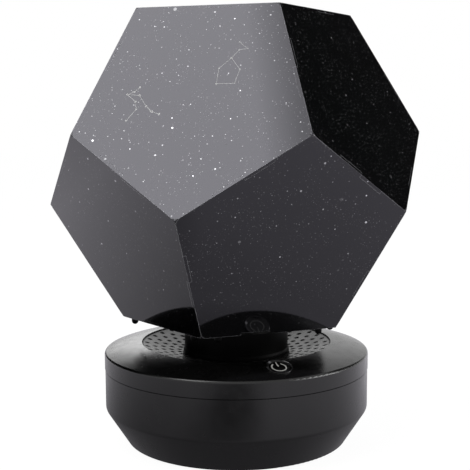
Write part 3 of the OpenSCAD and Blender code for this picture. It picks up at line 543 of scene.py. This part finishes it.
# %% Where the sheets of the globe are
LIFT = 0.02 * MM     # how far the ink of the figures stands above the sheet
UPPER_SHEETS = 5     # the first five side sheets face up, the next five face down
FIFTH = 72           # degrees from one side sheet to the next
UPPER_FIRST, LOWER_FIRST = -54, -90     # azimuths of the first sheets, in degrees
top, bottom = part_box("star_panel_top")[1][2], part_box("floor_panel")[0][2]
GLOBE_CENTRE = Vector((0.0, 0.0, (top + bottom) / 2))
GLOBE_IN_R = (top - bottom) / 2
SIDE_TILT = math.degrees(math.atan(2))
side_sheets = [(SIDE_TILT, UPPER_FIRST + FIFTH * i) for i in range(UPPER_SHEETS)]
side_sheets += [(180 - SIDE_TILT, LOWER_FIRST + FIFTH * i) for i in range(UPPER_SHEETS)]
RIGHT_PANEL, UPPER_LEFT_PANEL = side_sheets[0], side_sheets[4]


def sheet_axes(tilt, azimuth):
    """Centre, sideways axis, upward axis and normal of one sheet of the globe."""
    out = Vector((0, 0, 1))
    out.rotate(Matrix.Rotation(math.radians(tilt), 4, "Y"))
    out.rotate(Matrix.Rotation(math.radians(azimuth), 4, "Z"))
    side = Vector((0, 0, 1)).cross(out).normalized()
    return GLOBE_CENTRE + out * (GLOBE_IN_R + LIFT), side, out.cross(side), out


print("globe", round(2 * GLOBE_IN_R / MM, 1), "mm high, side sheets:", len(side_sheets))

# %% Lines of a figure
SHEET_REACH = 32     # millimetres from a sheet's middle at which a line turns back
WANDER, TURN_BACK = 0.9, 2.2     # the most that a joint bends, and the bend at the reach


def bent_line(pick, start, heading, joints, shortest, longest):
    """Joints of a line that turns a little at each one, in millimetres on the sheet."""
    line = [start]
    for _ in range(joints):
        heading += pick.uniform(-WANDER, WANDER)
        step = pick.uniform(shortest, longest)
        x, y = line[-1][0] + step * math.cos(heading), line[-1][1] + step * math.sin(heading)
        if math.hypot(x, y) > SHEET_REACH:
            heading += TURN_BACK
            x, y = line[-1][0] + step * math.cos(heading), line[-1][1] + step * math.sin(heading)
        line.append((x, y))
    return line


def ring_figure(pick, start, size):
    """Four or five joints round a crooked ring, and a tail."""
    count, turn = pick.randint(4, 5), pick.uniform(0, math.tau)
    ring = []
    for n in range(count):
        r, t = size * pick.uniform(0.6, 1.3), turn + math.tau * n / count
        ring.append((start[0] + r * math.cos(t), start[1] + r * math.sin(t)))
    tail = bent_line(pick, ring[0], turn, 3, 0.5 * size, 0.9 * size)
    return list(zip(ring, ring[1:] + ring[:1])) + list(zip(tail, tail[1:]))


def branching_figure(pick, start, size):
    """A long bent line with two short branches."""
    line = bent_line(pick, start, pick.uniform(0, math.tau), 6, 0.6 * size, 1.1 * size)
    joins = list(zip(line, line[1:]))
    for root in pick.sample(line[1:-1], 2):
        branch = bent_line(pick, root, pick.uniform(0, math.tau), 2, 0.4 * size, 0.7 * size)
        joins += list(zip(branch, branch[1:]))
    return joins


# %% Draw the figures
LINE_W, DISC_R = 0.17 * MM, 0.44 * MM
DISC_SIDES = 12
LARGE, SMALL = (6.0, 1.0), (4.0, 0.6)     # size in millimetres, share of the line's width
FIGURE_AWAY = 18     # millimetres from a sheet's middle to the start of a figure
FIGURE_SEED = 11
SHEETS_WITH_FIGURES = (1, 2, 4, 6, 8)


def outlines(pick, figure, line_w):
    """Flat shapes that draw a figure: a ribbon for each line, then a disc for each joint."""
    shapes = []
    for (x0, y0), (x1, y1) in figure:
        run = Vector((x1 - x0, y1 - y0)).normalized()
        w = Vector((-run.y, run.x)) * line_w / 2
        a, b = Vector((x0, y0)) * MM, Vector((x1, y1)) * MM
        shapes.append([a - w, b - w, b + w, a + w])
    turns = [math.tau * n / DISC_SIDES for n in range(DISC_SIDES)]
    for x, y in sorted({joint for pair in figure for joint in pair}):
        r = DISC_R * pick.uniform(0.6, 1.2)
        shapes.append([(x * MM + r * math.cos(t), y * MM + r * math.sin(t)) for t in turns])
    return shapes


def sheet_figures(pick, number):
    """Flat shapes on one side sheet: two large figures on an upper one, a small one below."""
    turn = pick.uniform(0, math.tau)
    kinds, (size, share) = (ring_figure, branching_figure), LARGE
    if number >= UPPER_SHEETS:
        kinds, (size, share) = (pick.choice(kinds),), SMALL
    shapes = []
    for k, kind in enumerate(kinds):
        away = turn + math.pi * k + pick.uniform(-0.5, 0.5)
        start = (FIGURE_AWAY * math.cos(away), FIGURE_AWAY * math.sin(away))
        shapes += outlines(pick, kind(pick, start, size), LINE_W * share)
    return shapes


def print_figures():
    """One mesh with the ribbons and discs of every sheet."""
    pick = random.Random(FIGURE_SEED)
    points, faces = [], []
    for number in SHEETS_WITH_FIGURES:
        centre, side, up = sheet_axes(*side_sheets[number])[:3]
        for outline in sheet_figures(pick, number):
            faces.append(tuple(range(len(points), len(points) + len(outline))))
            points.extend(centre + side * x + up * y for x, y in outline)
    mesh = bpy.data.meshes.new("star_figures")
    mesh.from_pydata(points, [], faces)
    figures = bpy.data.objects.new("star_figures", mesh)
    bpy.context.scene.collection.objects.link(figures)
    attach(figures, "globe")
    return figures


figures = print_figures()
print("figures:", len(figures.data.polygons), "faces")

# %% Ink of the figures


def figure_ink():
    """Thin grey ink that has not covered evenly."""
    material, tree, shader = new_material("figure_ink")
    cover = noise(tree, object_place(tree), 900.0, 3.0)
    body = blend_colours(tree, cover, grey(0.12), grey(0.34))
    tree.links.new(body, shader.inputs["Base Color"])
    tree.links.new(spread(tree, cover, 0.3, 0.7, 0.2, 0.34), shader.inputs["Roughness"])
    shader.inputs["Metallic"].default_value = 0.25
    shader.inputs["IOR"].default_value = LACQUER_IOR
    return material


figures.data.materials.append(figure_ink())
print("ink:", figures.data.materials[0].name)

# %% [markdown]
# ## Corners of the globe
# The corners of the flat sheets are cut off by a millimetre, so that three of them can meet
# without jamming. On the finished globe a drop of black lacquer fills each of these gaps. A tip
# is a small four-cornered solid: the corner of the globe itself, and one point along each of the
# three edges that meet there. Its outer faces lie in the planes of the three sheets.

# %% Corner tips
CORNER_CUT = 1.0 * MM
HALF_CORNER = math.radians(54)     # half the angle at the corner of a five-sided sheet
TIP_FILL = 0.97                    # share of the cut that the drop takes up along an edge
TIP_LENGTH = CORNER_CUT / math.cos(HALF_CORNER) * TIP_FILL
NEIGHBOURS = 0.4                   # sheets that share an edge have normals at least this alike


def corner_tips():
    """Twenty small tips in one mesh."""
    normals = [Vector((0, 0, 1)), Vector((0, 0, -1))]
    normals += [sheet_axes(*sheet)[3] for sheet in side_sheets]
    shape = bmesh.new()
    for a, b, c in itertools.combinations(normals, 3):
        if min(a.dot(b), b.dot(c), c.dot(a)) < NEIGHBOURS:
            continue
        corner = GLOBE_CENTRE + (a + b + c) * (GLOBE_IN_R / (a + b + c).dot(a))
        ends = []
        for one, two, other in ((a, b, c), (b, c, a), (c, a, b)):
            edge = one.cross(two).normalized()
            ends.append(corner - edge * math.copysign(TIP_LENGTH, edge.dot(other)))
        tip = [shape.verts.new(point) for point in (corner, *ends)]
        for face in ((0, 1, 2), (0, 2, 3), (0, 3, 1), (1, 3, 2)):
            shape.faces.new([tip[n] for n in face])
    bmesh.ops.recalc_face_normals(shape, faces=shape.faces)
    mesh = bpy.data.meshes.new("corner_tips")
    shape.to_mesh(mesh)
    shape.free()
    tips = bpy.data.objects.new("corner_tips", mesh)
    bpy.context.scene.collection.objects.link(tips)
    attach(tips, "globe")
    return tips


tips = corner_tips()
tips.data.materials.append(finishes["star_print"])
rounding = tips.modifiers.new("rounded_tip", "BEVEL")
rounding.width, rounding.segments = EDGE_ROUND, 2
print("corner tips:", len(tips.data.vertices) // 4)

# %% [markdown]
# ## Floor
# Black gloss is lit by what it mirrors, so the studio is part of the finish. The two lower
# panels in view and the base's wall mirror the floor, which glows for them with painted light:
# it is pale far out, has painted shade close to the object, where object and camera stand in
# its light, is painted lighter on the lit side, and has a painted shadow in front, where the
# photographer stands. The camera sees the floor white and keeps only a trace of the shadow.

# %% Studio floor
FLOOR_SIZE = 8.0
PATCH_X, PATCH_Y, PATCH_SQUASH = 0.075, 0.19, 0.62   # the painted shadow, in front and to the left
FLOOR_SEEN = 1.08       # brightness that the camera sees
UNSHADED = 0.88         # share of that brightness that no shadow dims
# tint of the floor's painted glow, as reflections see it
FLOOR_TINT = (1.0, 0.975, 1.045)
PAPER, PAPER_ROUGHNESS = (0.82, 0.82, 0.82, 1.0), 0.9


def distance(tree, x, y):
    """Length of a flat vector."""
    return maths(tree, "SQRT", total(tree, product(tree, x, x), product(tree, y, y)))


def floor_glow(tree):
    """Brightness of the floor as polished plastic mirrors it: painted light, with painted shade
    close to the object and a painted shadow in front. Distances are in metres.
    """
    axes = add_node(tree, "ShaderNodeSeparateXYZ", Vector=object_place(tree))
    x, y = axes.outputs["X"], axes.outputs["Y"]
    far = distance(tree, x, y)
    # painted light and shade: pale far out, darker near the object, lighter on the lit side
    pale = spread(tree, far, 0.10, 0.30, 0.36, 1.0)
    lit_side = spread(tree, maths(tree, "SUBTRACT", x, y), -0.10, 0.16, 0.0, 0.33)
    # painted shadow in front and to the left, where the photographer stands
    patch_y = product(tree, total(tree, y, PATCH_Y), PATCH_SQUASH)
    near = distance(tree, total(tree, x, PATCH_X), patch_y)
    painted_shadow = spread(tree, near, 0.035, 0.085, 0.16, 1.0)
    # painted shade where the object meets the floor
    contact_shade = spread(tree, far, 0.066, 0.092, 0.46, 1.0)
    light = maths(tree, "MINIMUM", total(tree, pale, lit_side), 1.1)
    return product(tree, light, painted_shadow, contact_shade)


def studio_floor():
    bpy.ops.mesh.primitive_plane_add(size=FLOOR_SIZE)
    floor = bpy.context.object
    floor.name = "studio_floor"
    material, tree, shader = new_material("floor_paper")
    shader.inputs["Base Color"].default_value = PAPER
    shader.inputs["Roughness"].default_value = PAPER_ROUGHNESS
    rays = add_node(tree, "ShaderNodeLightPath").outputs
    by_camera = rays["Is Camera Ray"]
    level = add_node(tree, "ShaderNodeMix", _0=by_camera, _2=floor_glow(tree), _3=FLOOR_SEEN)
    tint = blend_colours(tree, by_camera, FLOOR_TINT, grey(1.0))
    glow = add_node(tree, "ShaderNodeEmission", Color=tint, Strength=level.outputs[0])
    mirrored = total(tree, rays["Is Glossy Ray"], rays["Is Transmission Ray"])
    share = total(tree, product(tree, by_camera, UNSHADED), mirrored)
    mix = add_node(tree, "ShaderNodeMixShader", _0=maths(tree, "MINIMUM", share, 1.0))
    tree.links.new(shader.outputs[0], mix.inputs[1])
    tree.links.new(glow.outputs[0], mix.inputs[2])
    tree.links.new(mix.outputs[0], tree.nodes["Material Output"].inputs[0])
    floor.data.materials.append(material)
    return floor


floor = studio_floor()
print("floor:", tuple(round(v, 2) for v in floor.dimensions))

# %% [markdown]
# ## World, lamps and dark cards
# The world is white where the camera or a reflection sees it, and gives a plain level of
# light to all else. One large soft box above and to the left gives the upper left panel its
# grey sheen. Its light falls off past a slanted line, and with it the sheen, near the panel's
# right edge. A long lamp on the right draws the bright line along the rim of the base, and one
# low at the back puts the sheen on the left of the cover. Two dark cards are there in
# reflections only: one keeps the right panel black, the other keeps the base black where the
# lower left panel mirrors it.

# %% World
FILL = 0.42     # brightness of the world for light that is neither seen nor mirrored


def studio_world():
    world = bpy.data.worlds.new("studio")
    bpy.context.scene.world = world
    world.use_nodes = True
    tree = world.node_tree
    back = tree.nodes["Background"]
    rays = add_node(tree, "ShaderNodeLightPath").outputs
    seen = total(tree, rays["Is Camera Ray"], rays["Is Glossy Ray"], rays["Is Transmission Ray"])
    seen = maths(tree, "MINIMUM", seen, 1.0)
    back.inputs["Color"].default_value = (1.0, 1.0, 1.0, 1.0)
    tree.links.new(spread(tree, seen, 0.0, 1.0, FILL, 1.0), back.inputs["Strength"])
    return world


world = studio_world()
print("world:", world.name)

# %% Lamps
SLANT = 0.9     # lean of the line at which the soft box's light falls off


def direction(azimuth, elevation):
    """A unit vector that points that way, angles in degrees."""
    a, e = math.radians(azimuth), math.radians(elevation)
    return Vector((math.cos(e) * math.cos(a), math.cos(e) * math.sin(a), math.sin(e)))


def fade_lamp(lamp, start, end, rest):
    """Between these shares of the lamp's width its light falls to that rest, on a slant."""
    lamp.use_nodes = True
    tree = lamp.node_tree
    shape = add_node(tree, "ShaderNodeNewGeometry")
    over = add_node(tree, "ShaderNodeSeparateXYZ", Vector=shape.outputs["Parametric"]).outputs
    lean = product(tree, maths(tree, "SUBTRACT", over[1], 0.5), SLANT)
    strength = spread(tree, total(tree, over[0], lean), start, end, 1.0, rest)
    tree.links.new(strength, tree.nodes["Emission"].inputs["Strength"])


def soft_box(name, azimuth, elevation, width, height, radiance, aim, reach=0.98):
    """An area lamp of a known brightness, so that its look in a mirror is known too."""
    lamp = bpy.data.lights.new(name, "AREA")
    lamp.shape = "RECTANGLE"
    lamp.size, lamp.size_y = width, height
    lamp.energy = radiance * math.pi * width * height
    holder = bpy.data.objects.new(name, lamp)
    bpy.context.scene.collection.objects.link(holder)
    holder.location = aim + direction(azimuth, elevation) * reach
    holder.rotation_euler = (aim - holder.location).to_track_quat("-Z", "Y").to_euler()
    holder.visible_camera = False
    return lamp


# name, azimuth, elevation, width and height in metres, brightness, aim
key = soft_box("lamp_upper_left", -161, 54, 0.53, 0.68, 5.05, sheet_axes(*UPPER_LEFT_PANEL)[0])
fade_lamp(key, 0.74, 0.89, 0.40)
soft_box("lamp_right", -30, 20, 0.80, 0.18, 8.0, Vector((0.0, 0.0, 0.04)))
soft_box("lamp_back_left", 84, 18, 0.34, 0.36, 1.6, Vector((-0.055, -0.02, 0.045)))
print("lamps:", [lamp.name for lamp in bpy.data.lights])

# %% Dark cards


def dark_card(name, azimuth, elevation, width, height, level, aim, reach=0.9):
    """A card that is seen in reflections only, where it glows at a fixed dim level: a painted dark
    reflection.
    """
    bpy.ops.mesh.primitive_plane_add(size=1.0)
    card = bpy.context.object
    card.name = name
    card.scale = (width, height, 1.0)
    card.location = aim + direction(azimuth, elevation) * reach
    card.rotation_euler = (aim - card.location).to_track_quat("Z", "Y").to_euler()
    material, tree, _ = new_material(name + "_dark_glow")
    # painted dark reflection: the card glows at this fixed level
    glow = add_node(tree, "ShaderNodeEmission", Color=grey(level), Strength=1.0)
    tree.links.new(glow.outputs[0], tree.nodes["Material Output"].inputs[0])
    card.data.materials.append(material)
    card.visible_camera = card.visible_diffuse = card.visible_shadow = False
    return card


cards = [
    dark_card("card_right", 21, 23, 0.60, 0.55, 0.02, sheet_axes(*RIGHT_PANEL)[0]),
    dark_card("card_back_left", 128, 34, 1.60, 1.20, 0.0, Vector((-0.04, 0.03, 0.05))),
]
print("cards:", [card.name for card in cards])

# %% [markdown]
# ## Camera
# The view was worked out from the globe: it is a regular solid, so where its corners fall in
# the picture fixes the camera's distance, height and lens.

# %% Camera
CAMERA_REACH, CAMERA_HEIGHT = 0.4697, 0.1536     # metres from the axis, and above the floor
CAMERA_AZIMUTH, CAMERA_YAW = -110.2, 0.043       # degrees, as the next two
CAMERA_PITCH, CAMERA_ROLL = 6.64, -0.25
SENSOR_MM, LENS_MM = 36.0, 75.43


def product_camera():
    camera = bpy.data.objects.new("camera", bpy.data.cameras.new("camera"))
    bpy.context.scene.collection.objects.link(camera)
    turn = math.radians(CAMERA_AZIMUTH)
    place = (CAMERA_REACH * math.cos(turn), CAMERA_REACH * math.sin(turn), CAMERA_HEIGHT)
    heading = Matrix.Rotation(turn + math.pi / 2 + math.radians(CAMERA_YAW), 4, "Z")
    tilt = Matrix.Rotation(math.radians(90 - CAMERA_PITCH), 4, "X")
    roll = Matrix.Rotation(math.radians(CAMERA_ROLL), 4, "Z")
    camera.location = place
    camera.rotation_euler = (heading @ tilt @ roll).to_euler()
    camera.data.sensor_width = SENSOR_MM
    camera.data.lens = LENS_MM
    camera.data.clip_start = 0.01
    bpy.context.scene.camera = camera
    return camera


camera = product_camera()
bpy.context.scene.view_settings.view_transform = "Standard"
print("camera at", [round(v, 3) for v in camera.location])
